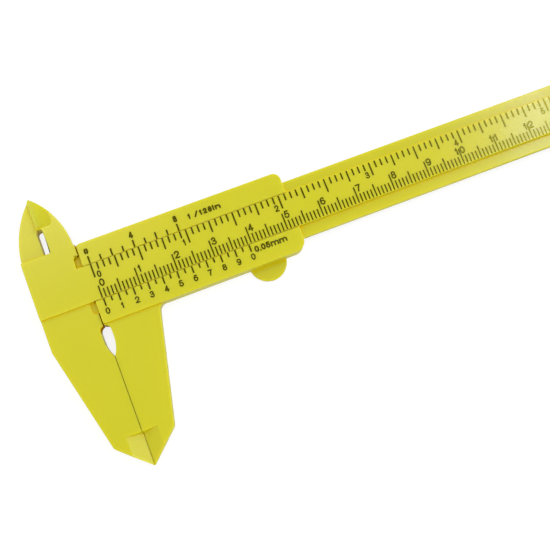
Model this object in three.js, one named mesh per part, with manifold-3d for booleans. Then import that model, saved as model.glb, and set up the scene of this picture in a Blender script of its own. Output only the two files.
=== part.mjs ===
// A plastic vernier caliper, closed and lying on its back, in millimetres.
//
// The pieces are laid out from the marks of the main scale. X runs along the beam from the zero
// mark, Y runs across it from the lower edge of the raised scale strip towards the inside jaws,
// and Z is the height above the table. The group at the end of the file moves the whole caliper
// so that its origin lies under the middle of its outline.

import * as THREE from "three";
import { mergeVertices } from "three/addons/utils/BufferGeometryUtils.js";
import Module from "manifold-3d";

// Thicknesses, from the table up
const bodyThickness = 5.0; // head, slider and raised strip share one front face
const backWall = 1.1; // slider behind the beam, and the thumb tab
const stripThickness = 1.2; // front strips of the slider, over the ledges of the beam
const slideClearance = 0.2; // running fit all round the beam and the depth rod
const jawFaceDrop = 0.8; // front of the outside jaws below the front face
const insideJawThickness = 1.2; // fixed inside jaw, and the head plate that it grows from
const layerClearance = 0.2; // between that plate and the moving jaw behind it

// Beam
const beamReach = 175; // zero mark to the right end
const beamCornerRadius = 0.8;
const scaleStripWidth = 9.3;
const ledgeWidth = 3.2; // each side of the raised strip

// Head
const zeroInset = 2.05; // zero mark to the closing line of the outside jaws
const jawGap = 0.1; // between the measuring faces when closed
const headRelief = 0.1; // head beside the slider, behind the measuring face
const headWidth = 14.35;
const headCover = 0.2; // head plate above the top of the slider
const notchWidth = 1.4; // ledges carried on into the head
const notchRadius = 1.0;

// Slider
const sliderLength = 55.1;
const sliderTopWall = 2.6;
const sliderBottomWall = 2.8;
const windowClearance = 0.15; // strips beside the raised scale strip
const sliderHeelRadius = 0.4; // lower corner beside the head
const sliderShoulderRadius = 1.0; // upper corner beside the head
const sliderTopRadius = 2.0;
const sliderBottomRadius = 3.0;

// Thumb tab
const tabPlace = 42.5; // zero mark to its middle
const tabRadius = 5.0;
const tabInset = 0.75; // middle above the lower edge of the slider

// Outside jaws, each measured from their closing line and from the lower edge of the scale strip
const jawRootWidth = 14.3;
const jawRootDrop = 8.5;
const jawToeWidth = 7.85;
const jawToeDrop = 36.15;
const jawToeRadius = 1.6;
const jawTipDrop = 43.4;
const jawFillet = 2.0; // moving jaw into the slider
const bevelWidth = 4.1; // knife bevels at the tips
const bevelDrop = 34.5;
const bevelDepth = 2.0;
const bevelRun = 0.5; // slope at the upper end of each bevel

// Almond-shaped relief between the outside jaws
const reliefWidth = 2.8;
const reliefTopDrop = 6.5;
const reliefSideDrop = 10.0; // where the straight sides turn in towards the point
const reliefTipDrop = 14.8;

// Inside jaws, measured from the left side and the top of the head plate
const insideLineInset = 6.3; // line where the two knife edges meet
const leafTipInset = 6.95;
const leafRise = 15.4;
const leafShoulderDrop = 2.0; // where the left side begins to curve in
const leafRightInset = 0.35; // right side of the leaf from the right side of the head
const slotWidth = 1.6; // relief slot beside the closing line, in the fixed jaw
const slotBite = 0.25; // how far it reaches into the moving jaw
const slotRise = 6.9;
const slotFootRadius = 0.25;
const slotRadius = 0.85; // round upper end
const toeWidth = 1.45; // toe of the moving jaw, which closes the slot's upper end behind the fixed jaw
const toeRise = 0.8;
const fixedBevelWidth = 4.55; // hollow-ground front of the fixed jaw, steepest away from its edge
const fixedBevelRise = 6.9;
const fixedBevelDepth = 1.0;
const fixedBevelRadius = 1.2;
const fixedBevelRun = 0.6; // slope at the lower end of that bevel
const movingBevelWidth = 1.9; // slight bevel on the front of the moving jaw
const movingBevelDepth = 0.15;
const movingBackWidth = 3.6; // deep bevel on its back, above the toe
const movingBackDepth = 2.6;

// Depth rod, in a groove in the back of the beam
const rodWidth = 3.8;
const rodThickness = 1.2;
const rodStart = 4.0; // zero mark to the end that is fixed to the slider
const rodTipCut = 1.4; // corner cut away at the measuring tip
const seatGap = 0.3; // between the rod and the slider parts that hold it
const pegRadius = 0.8; // moulded pegs with spread heads
const pegHeadRadius = 1.2;
const pegHeadHeight = 0.5;
const pegHeadLand = 0.15; // straight rim above the cone of the head
const pegInset = 3.0; // end of the rod to the first peg
const pegSpacing = 7.0;

// Drawing values
const overrun = 2.0; // how far a cutter passes the faces that it opens
const arcError = 0.015; // how far the straight steps of an arc may leave it
const pegSides = 20;

// Heights
const beamBack = backWall + slideClearance;
const stripBack = bodyThickness - stripThickness;
const ledgeTop = stripBack - slideClearance;
const jawFace = bodyThickness - jawFaceDrop;
const leafBack = bodyThickness - insideJawThickness;
const armFace = leafBack - layerClearance;
const rodBack = backWall + seatGap;
const rodFace = rodBack + rodThickness;

// Places across the beam
const beamBottom = -ledgeWidth;
const beamTop = scaleStripWidth + ledgeWidth;
const channelBottom = beamBottom - slideClearance;
const channelTop = beamTop + slideClearance;
const sliderBottom = channelBottom - sliderBottomWall;
const sliderTop = channelTop + sliderTopWall;
const headTop = sliderTop + headCover;
const leafTop = headTop + leafRise;
const rodMiddle = scaleStripWidth / 2;

// Places along the beam
const closingLine = -zeroInset;
const fixedFace = closingLine - jawGap / 2;
const movingFace = closingLine + jawGap / 2;
const headRight = fixedFace - headRelief;
const headLeft = closingLine - headWidth;
const headMiddle = (headLeft + headRight) / 2;
const sliderRight = movingFace + sliderLength;
const insideLine = headLeft + insideLineInset;
const leafTip = headLeft + leafTipInset;
const leafRight = headRight - leafRightInset;

const wasm = await Module();
wasm.setup();

// Turns a closed three.js geometry into a solid that can be joined and cut.
function solidFrom(geometry) {
  geometry.deleteAttribute("normal");
  geometry.deleteAttribute("uv");
  const merged = mergeVertices(geometry);
  return new wasm.Manifold(
    new wasm.Mesh({
      numProp: 3,
      vertProperties: merged.attributes.position.array,
      triVerts: new Uint32Array(merged.index.array),
    }),
  );
}

// Extrudes an outline, a list of points, upwards between two heights.
function plate(outline, bottom, top) {
  const geometry = extruded(outline, top - bottom);
  geometry.translate(0, 0, bottom);
  return solidFrom(geometry);
}

// Extrudes a section drawn as [x, z] corners along Y.
function prismAlongY(corners, from, to) {
  const geometry = extruded(roundedOutline(corners), to - from);
  geometry.rotateX(Math.PI / 2);
  geometry.translate(0, to, 0);
  return solidFrom(geometry);
}

// Extrudes a section drawn as [y, z] corners along X.
function prismAlongX(corners, from, to) {
  const geometry = extruded(roundedOutline(corners), to - from);
  const acrossToY = new THREE.Vector3(0, 1, 0);
  const upToZ = new THREE.Vector3(0, 0, 1);
  const alongToX = new THREE.Vector3(1, 0, 0);
  geometry.applyMatrix4(new THREE.Matrix4().makeBasis(acrossToY, upToZ, alongToX));
  geometry.translate(from, 0, 0);
  return solidFrom(geometry);
}

function extruded(outline, depth) {
  return new THREE.ExtrudeGeometry(new THREE.Shape(outline), { depth, bevelEnabled: false });
}

function point(x, y) {
  return new THREE.Vector2(x, y);
}

// Draws a closed outline from [x, y, radius] corners. A corner without a radius stays sharp.
function roundedOutline(corners) {
  const count = corners.length;
  return corners.flatMap(([x, y, radius = 0], index) => {
    const corner = point(x, y);
    const before = point(...corners[(index + count - 1) % count]);
    const after = point(...corners[(index + 1) % count]);
    return radius > 0 ? cornerArc(before, corner, after, radius) : [corner];
  });
}

// The arc that rounds one corner, on either side of the outline.
function cornerArc(before, corner, after, radius) {
  const back = before.clone().sub(corner).normalize();
  const ahead = after.clone().sub(corner).normalize();
  const halfAngle = Math.acos(back.dot(ahead)) / 2;
  const bisector = back.clone().add(ahead).normalize();
  const centre = corner.clone().addScaledVector(bisector, radius / Math.sin(halfAngle));
  const reach = radius / Math.tan(halfAngle);
  const start = corner.clone().addScaledVector(back, reach);
  const end = corner.clone().addScaledVector(ahead, reach);
  return arc(start, centre, end, back.cross(ahead) > 0);
}

// The points of an arc round a centre, with as many straight steps as its radius and sweep need.
function arc(start, centre, end, clockwise = false) {
  const from = start.clone().sub(centre);
  const to = end.clone().sub(centre);
  const radius = from.length();
  const fullTurn = 2 * Math.PI;
  const turned = clockwise ? from.angle() - to.angle() : to.angle() - from.angle();
  const sweep = (turned + fullTurn) % fullTurn;
  const steps = Math.ceil(sweep / (2 * Math.acos(1 - arcError / radius)));
  return new THREE.EllipseCurve(
    centre.x, centre.y, radius, radius, from.angle(), to.angle(), clockwise,
  ).getPoints(steps);
}

// Gives the radius of the arc that leaves a vertical side and passes the point so far in and up.
function sideRadius(inward, upward) {
  return (inward * inward + upward * upward) / (2 * inward);
}

// Draws a rectangle, with its corners rounded from the lower left one onwards, anticlockwise.
function rectangle(left, bottom, right, top, radii = []) {
  return roundedOutline([
    [left, bottom, radii[0]],
    [right, bottom, radii[1]],
    [right, top, radii[2]],
    [left, top, radii[3]],
  ]);
}

// A cutter that slopes from a face into the jaw, towards a knife edge. Side is 1 where the bevel
// lies on the right of the edge and -1 where it lies on the left. Facing is 1 for a bevel on the
// front and -1 for one on the back.
function bevelCutter(edge, side, width, face, depth, from, to, facing = 1) {
  const slope = depth / width;
  const section = [
    [edge + side * width, face],
    [edge + side * width, face + facing * overrun],
    [edge - side * overrun, face + facing * overrun],
    [edge - side * overrun, face - facing * (depth + slope * overrun)],
  ];
  return prismAlongY(section, from, to);
}

// A cutter for a hollow bevel on the right of a knife edge: level at the edge, and rising in an arc
// to the face.
function hollowBevelCutter(edge, width, face, depth, from, to) {
  const centre = point(edge, face - depth + sideRadius(depth, width));
  const hollow = arc(point(edge, face - depth), centre, point(edge + width, face));
  const section = [
    ...hollow.map((step) => [step.x, step.y]),
    [edge + width, face + overrun],
    [edge - overrun, face + overrun],
    [edge - overrun, face - depth],
  ];
  return prismAlongY(section, from, to);
}

// Prism of the almond-shaped relief, round above and pointed below.
function reliefCutter() {
  const half = reliefWidth / 2;
  const side = sideRadius(half, reliefTipDrop - reliefSideDrop);
  const tip = point(closingLine, -reliefTipDrop);
  const right = closingLine + half;
  const left = closingLine - half;
  const roundStart = -reliefTopDrop - half;
  const outline = [
    ...arc(tip, point(right - side, -reliefSideDrop), point(right, -reliefSideDrop)),
    ...arc(point(right, roundStart), point(closingLine, roundStart), point(left, roundStart)),
    ...arc(point(left, -reliefSideDrop), point(left + side, -reliefSideDrop), tip).slice(0, -1),
  ];
  return plate(outline, -overrun, bodyThickness + overrun);
}

// Prism of the slot between the inside jaws.
function slotCutter() {
  const outline = rectangle(
    insideLine - slotBite,
    headTop,
    insideLine + slotWidth,
    headTop + slotRise,
    [slotFootRadius, slotFootRadius, slotRadius, slotRadius],
  );
  return plate(outline, -overrun, bodyThickness + overrun);
}

// The bevels of both outside jaws: each slopes towards the closing line, and its upper end slopes
// down from the jaw's face.
function tipBevelCutter(edge, side) {
  const towardsLine = bevelCutter(edge, side, bevelWidth, jawFace, bevelDepth, -jawTipDrop - overrun, 0);
  const slope = bevelDepth / bevelRun;
  const upperEnd = prismAlongX(
    [
      [-bevelDrop, jawFace],
      [-bevelDrop - bevelRun - overrun, jawFace - bevelDepth - slope * overrun],
      [-jawTipDrop - overrun, jawFace - bevelDepth - slope * overrun],
      [-jawTipDrop - overrun, jawFace + overrun],
      [-bevelDrop, jawFace + overrun],
    ],
    edge - bevelWidth - overrun,
    edge + bevelWidth + overrun,
  );
  return towardsLine.intersect(upperEnd);
}

// Outline of one outside jaw below the scale strip. Side is -1 for the fixed jaw on the left.
function jawOutline(face, side, root) {
  const toe = [closingLine + side * jawToeWidth, -jawToeDrop, jawToeRadius];
  return roundedOutline([...root, toe, [face, -jawTipDrop]]);
}

// The beam, with its head, fixed outside jaw and fixed inside jaw, is one moulding.
function beam() {
  const bar = plate(
    rectangle(headMiddle, beamBottom, beamReach, beamTop, [0, beamCornerRadius, beamCornerRadius, 0]),
    beamBack,
    ledgeTop,
  );
  const scaleStrip = plate(rectangle(headMiddle, 0, beamReach, scaleStripWidth), beamBack, bodyThickness);
  const headBlock = plate(rectangle(headLeft, 0, headRight, beamTop), 0, bodyThickness);
  const outsideJaw = plate(
    jawOutline(fixedFace, -1, [
      [fixedFace, -reliefTopDrop - reliefWidth / 2],
      [headRight, -reliefTopDrop - reliefWidth / 2],
      [headRight, 0],
      [headLeft, 0],
      [closingLine - jawRootWidth, -jawRootDrop],
    ]),
    0,
    jawFace,
  );
  return bar
    .add(scaleStrip)
    .add(headBlock)
    .add(outsideJaw)
    .add(headPlateAndInsideJaw())
    .subtract(notchCutter(scaleStripWidth, beamTop, [0, 0, 0, notchRadius]))
    .subtract(notchCutter(beamBottom, 0, [notchRadius, 0, 0, 0]))
    .subtract(reliefCutter())
    .subtract(tipBevelCutter(fixedFace, -1))
    .subtract(rodGroove());
}

// Pocket that carries a ledge on into the head.
function notchCutter(bottom, top, radii) {
  const outline = rectangle(headRight - notchWidth, bottom, closingLine, top, radii);
  return plate(outline, ledgeTop, bodyThickness + overrun);
}

// The front layer of the head: its plate, and the right half of the leaf with its knife bevel.
function headPlateAndInsideJaw() {
  const knife = insideLine + jawGap / 2;
  const tip = point(leafTip, leafTop);
  const side = leafSide();
  const rightRadius = sideRadius(leafRight - leafTip, leafRise);
  const outline = [
    point(headLeft, 0),
    point(headRight, 0),
    point(headRight, headTop),
    ...arc(point(leafRight, headTop), point(leafRight - rightRadius, headTop), tip),
    ...arc(tip, side.centre, leafSideOver(knife)).slice(1),
    point(knife, headTop),
    ...arc(leafSideBeside(headTop), side.centre, point(headLeft, side.centre.y)),
  ];
  return plate(outline, leafBack, bodyThickness)
    .subtract(slotCutter())
    .subtract(fixedBevelCutter(knife));
}

// The hollow bevel of the fixed inside jaw, round at its lower right corner, with a sloping lower end.
function fixedBevelCutter(knife) {
  const floor = headTop + fixedBevelRise;
  const end = leafTop + overrun;
  const hollow = hollowBevelCutter(knife, fixedBevelWidth, bodyThickness, fixedBevelDepth, floor, end);
  const plan = rectangle(knife - overrun, floor, knife + fixedBevelWidth, end, [0, fixedBevelRadius]);
  const slope = fixedBevelDepth / fixedBevelRun;
  const lowest = bodyThickness - fixedBevelDepth - slope * overrun;
  const lowerEnd = prismAlongX(
    [
      [floor, bodyThickness],
      [floor + fixedBevelRun + overrun, lowest],
      [end, lowest],
      [end, bodyThickness + overrun],
      [floor, bodyThickness + overrun],
    ],
    knife - overrun,
    knife + fixedBevelWidth,
  );
  return hollow.intersect(plate(plan, leafBack, bodyThickness + overrun)).intersect(lowerEnd);
}

// The arc of the leaf's left side, which leaves the side of the head and ends at the leaf's tip.
function leafSide() {
  const shoulder = headTop - leafShoulderDrop;
  const radius = sideRadius(leafTipInset, leafTop - shoulder);
  return { radius, centre: point(headLeft + radius, shoulder) };
}

// The point of that arc at a given place along the beam.
function leafSideOver(place) {
  const { radius, centre } = leafSide();
  const across = centre.x - place;
  return point(place, centre.y + Math.sqrt(radius * radius - across * across));
}

// The point of that arc at a given place across the beam.
function leafSideBeside(place) {
  const { radius, centre } = leafSide();
  const up = place - centre.y;
  return point(centre.x - Math.sqrt(radius * radius - up * up), place);
}

// Groove for the depth rod, open at the right end of the beam.
function rodGroove() {
  const half = rodWidth / 2 + slideClearance;
  const outline = rectangle(
    rodStart - slideClearance,
    rodMiddle - half,
    beamReach + overrun,
    rodMiddle + half,
  );
  return plate(outline, -overrun, rodFace + slideClearance);
}

// The slider, with its moving jaws and thumb tab, is one moulding: a channel round the beam that
// is open in front between its two strips.
function slider() {
  const corners = [sliderHeelRadius, sliderBottomRadius, sliderTopRadius, sliderShoulderRadius];
  const outline = rectangle(movingFace, sliderBottom, sliderRight, sliderTop, corners);
  const block = plate(outline, 0, bodyThickness);
  const left = movingFace - overrun;
  const right = sliderRight + overrun;
  const channel = plate(rectangle(left, channelBottom, right, channelTop), backWall, stripBack);
  const window = plate(
    rectangle(left, -windowClearance, right, scaleStripWidth + windowClearance),
    backWall,
    bodyThickness + overrun,
  );
  const wallMiddle = (sliderBottom + channelBottom) / 2;
  const edgeRun = (jawRootWidth - jawToeWidth) / (jawToeDrop - jawRootDrop);
  const jawMeetsSlider = closingLine + jawRootWidth + edgeRun * (jawRootDrop + sliderBottom);
  const filletEnd = jawMeetsSlider + jawFillet;
  const outsideJaw = plate(
    jawOutline(movingFace, 1, [
      [movingFace, wallMiddle],
      [filletEnd, wallMiddle],
      [filletEnd, sliderBottom],
      [jawMeetsSlider, sliderBottom, jawFillet],
    ]),
    0,
    jawFace,
  );
  const tabMiddle = point(tabPlace, sliderBottom + tabInset);
  const tab = arc(
    point(tabPlace - tabRadius, tabMiddle.y),
    tabMiddle,
    point(tabPlace + tabRadius, tabMiddle.y),
  );
  const pegs = pegPlaces().map((place) => pegAt(place, 0, backWall / 2, rodFace));
  return pegs.reduce(
    (body, one) => body.add(one),
    block
      .subtract(channel)
      .subtract(window)
      .add(outsideJaw)
      .add(plate(tab, 0, backWall))
      .add(armAndInsideJaw())
      .subtract(reliefCutter())
      .subtract(tipBevelCutter(movingFace, 1)),
  );
}

// The back layer of the leaf, on the arm that passes behind the head plate.
function armAndInsideJaw() {
  const knife = insideLine - jawGap / 2;
  const rootEnd = movingFace + sliderTopWall;
  const side = leafSide();
  const outline = [
    point(headLeft, channelTop),
    point(rootEnd, channelTop),
    point(rootEnd, sliderTop),
    point(knife, sliderTop),
    ...arc(leafSideOver(knife), side.centre, point(headLeft, side.centre.y)),
  ];
  const slotEnd = headTop + slotRise;
  const toeEnd = slotEnd + toeRise + toeWidth;
  const toe = [
    point(knife - toeWidth, slotEnd - slotRadius),
    point(knife + toeWidth, slotEnd - slotRadius),
    point(knife + toeWidth, slotEnd + toeRise),
    point(knife, toeEnd),
    point(knife - toeWidth, toeEnd),
  ];
  const bevelsEnd = leafTop + overrun;
  const front = bevelCutter(knife, -1, movingBevelWidth, armFace, movingBevelDepth, slotEnd, bevelsEnd);
  const back = bevelCutter(knife, -1, movingBackWidth, 0, movingBackDepth, toeEnd, bevelsEnd, -1);
  return plate(outline, 0, armFace)
    .add(plate(toe, 0, armFace))
    .subtract(slotCutter())
    .subtract(front)
    .subtract(back);
}

// Places of the pegs along the depth rod.
function pegPlaces() {
  return [rodStart + pegInset, rodStart + pegInset + pegSpacing];
}

// A peg with its head spread in the rod, between a height for its foot and one for its top. With a
// gap all round it is the cutter for its hole.
function pegAt(place, gap, foot, top) {
  const shank = pegRadius + gap;
  const head = pegHeadRadius + gap;
  const profile = [
    [0, foot],
    [shank, foot],
    [shank, rodFace - pegHeadHeight],
    [head, rodFace - pegHeadLand],
    [head, top],
    [0, top],
  ];
  const points = profile.map(([across, height]) => point(across, height));
  const geometry = new THREE.LatheGeometry(points, pegSides);
  geometry.rotateX(Math.PI / 2);
  geometry.translate(place, rodMiddle, 0);
  return solidFrom(geometry);
}

// The depth rod is a flat blade whose tip is level with the end of the beam when closed.
function depthRod() {
  const half = rodWidth / 2;
  const blade = plate(
    roundedOutline([
      [rodStart, rodMiddle - half],
      [beamReach, rodMiddle - half],
      [beamReach, rodMiddle + half - rodTipCut],
      [beamReach - rodTipCut, rodMiddle + half],
      [rodStart, rodMiddle + half],
    ]),
    rodBack,
    rodFace,
  );
  return pegPlaces().reduce(
    (body, place) => body.subtract(pegAt(place, seatGap, 0, bodyThickness)),
    blade,
  );
}

// Turns a finished solid into a named mesh.
function namedMesh(name, solid, material) {
  const { vertProperties, triVerts } = solid.getMesh();
  const geometry = new THREE.BufferGeometry();
  geometry.setAttribute("position", new THREE.BufferAttribute(vertProperties, 3));
  geometry.setIndex(new THREE.BufferAttribute(triVerts, 1));
  geometry.computeVertexNormals();
  const mesh = new THREE.Mesh(geometry, material);
  mesh.name = name;
  return mesh;
}

function yellowPlastic() {
  return new THREE.MeshStandardMaterial({ color: "#d6d030", roughness: 0.45, metalness: 0 });
}

const caliper = new THREE.Group();
caliper.add(namedMesh("beam", beam(), yellowPlastic()));

// What slides along the beam
const sliding = new THREE.Group();
sliding.add(namedMesh("slider", slider(), yellowPlastic()));
sliding.add(namedMesh("depth_rod", depthRod(), yellowPlastic()));
caliper.add(sliding);

caliper.position.set(-(headLeft + beamReach) / 2, -(leafTop - jawTipDrop) / 2, 0);

const part = new THREE.Group();
part.add(caliper);

export default part;
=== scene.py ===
"""Looks of a yellow plastic vernier caliper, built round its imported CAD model.

Lengths in the classes are millimetres, counted as on the object: x along the beam from the zero mark
of the main scale, y across it from the lower edge of the raised scale strip, and z up from the table.
"""

import logging
import math
from collections.abc import Iterable, Sequence
from dataclasses import dataclass, field
from enum import Enum
from typing import ClassVar

import bmesh
import bpy
from mathutils import Matrix, Vector
from mathutils.geometry import delaunay_2d_cdt


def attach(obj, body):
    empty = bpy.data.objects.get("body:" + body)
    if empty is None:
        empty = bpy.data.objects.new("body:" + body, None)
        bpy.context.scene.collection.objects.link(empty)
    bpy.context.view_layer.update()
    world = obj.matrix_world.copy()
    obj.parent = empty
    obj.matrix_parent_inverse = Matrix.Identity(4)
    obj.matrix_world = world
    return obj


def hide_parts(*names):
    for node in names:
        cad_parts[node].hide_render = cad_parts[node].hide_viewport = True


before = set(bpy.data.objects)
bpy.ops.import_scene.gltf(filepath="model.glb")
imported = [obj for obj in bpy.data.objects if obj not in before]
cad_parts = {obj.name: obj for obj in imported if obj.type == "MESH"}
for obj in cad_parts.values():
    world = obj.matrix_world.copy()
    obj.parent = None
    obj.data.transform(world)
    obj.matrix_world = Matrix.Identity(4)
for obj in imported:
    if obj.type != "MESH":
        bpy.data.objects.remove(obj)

LOG = logging.getLogger("vernier_caliper")

MILLIMETRE = 0.001
INCH = 25.4
ZERO_MARK = Vector((-79.3, 6.25, 0.0))
PLASTIC_IOR = 1.49

Socket = bpy.types.NodeSocket
Point = tuple[float, float]
Span = tuple[float, float]
Colour = tuple[float, float, float]
Shader = tuple[float, float, float, float]
Words = tuple[tuple[str, float], ...]


class Body(Enum):
    """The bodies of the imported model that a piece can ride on."""

    FRAME = "fixed_frame"
    SLIDE = "vernier_slide"


class Slot(Enum):
    """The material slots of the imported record."""

    PLASTIC = "yellow_plastic"
    INK = "scale_ink"


class Rounding(Enum):
    """How far the mould rounds an edge: the radius of each kind, in millimetres."""

    KNIFE = 0.03
    STRIP = 0.04
    INNER = 0.08
    LIP = 0.13
    LEAF = 0.14
    ROD = 0.15
    RIM = 0.18
    SOFT = 0.2


class Shade(Enum):
    """How much painted shade a wall shows, by how little light reaches it."""

    OPEN = 0.0
    SLOT = 0.12
    RELIEF = 0.5
    GAP = 0.8


def above(low: float) -> Span:
    """Gives the span of all that is more than a value."""
    return low, math.inf


def below(high: float) -> Span:
    """Gives the span of all that is less than a value."""
    return -math.inf, high


@dataclass(frozen=True)
class Zone:
    """A block of the object, in millimetres, whose edges or walls are all of one kind.

    It has no end on an axis whose span isn't given. An upright zone takes only the edges that stand
    between two side walls.
    """

    kind: Rounding | Shade
    x: Span = (-math.inf, math.inf)
    y: Span = (-math.inf, math.inf)
    z: Span = (-math.inf, math.inf)
    upright: bool = False

    def holds(self, place: Vector) -> bool:
        """Tells whether a place lies in it."""
        spans = (self.x, self.y, self.z)
        return all(low < part < high for part, (low, high) in zip(place, spans))


# Spans that both mouldings use: the lines and the slot along x, the gap and the relief across y.
CLOSING_LINE: Span = (-2.35, -1.75)
CLOSING_GAP: Span = (-6.6, -3.3)
RELIEF: Span = (-8.2, -6.6)
LEAF_LINE: Span = (-10.4, -9.8)
LEAF_SLOT: Span = (-10.4, -8.3)


def in_row(x: float, y: float, z: float) -> Vector:
    """Turns a place counted on the object, in millimetres, into metres in the row frame.

    Args:
        x: Along the beam from the zero mark.
        y: Across it from the lower edge of the raised strip.
        z: Up from the table.

    Returns:
        The same place in the row frame.
    """
    return (ZERO_MARK + Vector((x, y, z))) * MILLIMETRE


def on_object(place: Vector) -> Vector:
    """Turns a place in the row frame into millimetres counted on the object."""
    return place / MILLIMETRE - ZERO_MARK


def linear(colour: Colour) -> Shader:
    """Turns a colour as a screen shows it, from 0 to 255, into the values that a shader takes.

    Args:
        colour: Its red, green and blue.

    Returns:
        Red, green, blue and full cover, in linear light.
    """

    def channel(value: float) -> float:
        """Undoes the screen curve of one channel."""
        share = value / 255
        return share / 12.92 if share <= 0.04045 else ((share + 0.055) / 1.055) ** 2.4

    red, green, blue = (channel(value) for value in colour)
    return red, green, blue, 1.0


def new_object(name: str, mesh: bpy.types.Mesh) -> bpy.types.Object:
    """Makes an object of a mesh and puts it in the scene.

    Args:
        name: The name of the object.
        mesh: Its mesh.

    Returns:
        The object.
    """
    made = bpy.data.objects.new(name, mesh)
    bpy.context.scene.collection.objects.link(made)
    return made


class NodeWork:
    """A material's node tree, with short ways to add and join nodes."""

    def __init__(self, tree: bpy.types.NodeTree) -> None:
        """Starts on a tree with no nodes."""
        tree.nodes.clear()
        self.tree = tree

    def add(self, kind: str, **values: object) -> bpy.types.Node:
        """Adds a node.

        Args:
            kind: The node's type name without its ShaderNode start.
            **values: Properties of the node, or values of its input sockets.

        Returns:
            The new node.
        """
        node = self.tree.nodes.new("ShaderNode" + kind)
        for name, value in values.items():
            socket = node.inputs.get(name.replace("_", " "))
            if hasattr(node, name):
                setattr(node, name, value)
            elif socket is not None:
                socket.default_value = value
            else:
                raise ValueError(f"{kind} has no {name}")
        return node

    def join(self, start: Socket, end: Socket) -> None:
        """Joins an output to an input."""
        self.tree.links.new(start, end)

    def noise(self, place: Socket, size: float, detail: float) -> Socket:
        """Adds a noise, and gives its value at a place.

        Args:
            place: Where it is read.
            size: The size of its features, in millimetres.
            detail: How many finer layers it has.

        Returns:
            Its value.
        """
        node = self.add("TexNoise", Scale=1 / (size * MILLIMETRE), Detail=detail, Roughness=0.5)
        self.join(place, node.inputs["Vector"])
        return node.outputs["Fac"]

    def between(self, value: Socket, span: Span, low: float = 0.0, high: float = 1.0) -> Socket:
        """Maps a value from a span to a range, and holds it at the ends.

        Args:
            value: The value.
            span: Where it starts to change the result, and where it ends.
            low: The result at the span's start.
            high: The result at the span's end.

        Returns:
            The result.
        """
        start, end = span
        node = self.add("MapRange", From_Min=start, From_Max=end, To_Min=low, To_Max=high)
        self.join(value, node.inputs["Value"])
        return node.outputs["Result"]

    def reckon(self, operation: str, first: Socket, second: Socket | None = None) -> Socket:
        """Reckons with one value or two, and gives the result.

        Args:
            operation: What to do, as the Math node names it.
            first: The first value.
            second: The second value, for an operation that takes two.

        Returns:
            The result.
        """
        node = self.add("Math", operation=operation)
        self.join(first, node.inputs[0])
        if second is not None:
            self.join(second, node.inputs[1])
        return node.outputs[0]

    def part_of(self, vector: Socket, part: str) -> Socket:
        """Gives the X, Y or Z of a vector.

        Args:
            vector: The vector.
            part: The letter of the part.

        Returns:
            That part.
        """
        parts = self.add("SeparateXYZ")
        self.join(vector, parts.inputs[0])
        return parts.outputs[part]

    def blend(self, share: Socket, first: Socket | Shader, second: Socket | Shader) -> Socket:
        """Mixes two colours.

        Args:
            share: The share of the second colour.
            first: The first colour, from a socket or fixed.
            second: The second colour, from a socket or fixed.

        Returns:
            The mixed colour.
        """
        node = self.add("Mix", data_type="RGBA")
        # The Mix node has sockets for each kind of value: these are the factor and the two colours.
        factor, one, other = (node.inputs[index] for index in (0, 6, 7))
        self.join(share, factor)
        for source, end in ((first, one), (second, other)):
            if isinstance(source, tuple):
                end.default_value = source
            else:
                self.join(source, end)
        return node.outputs[2]


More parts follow.
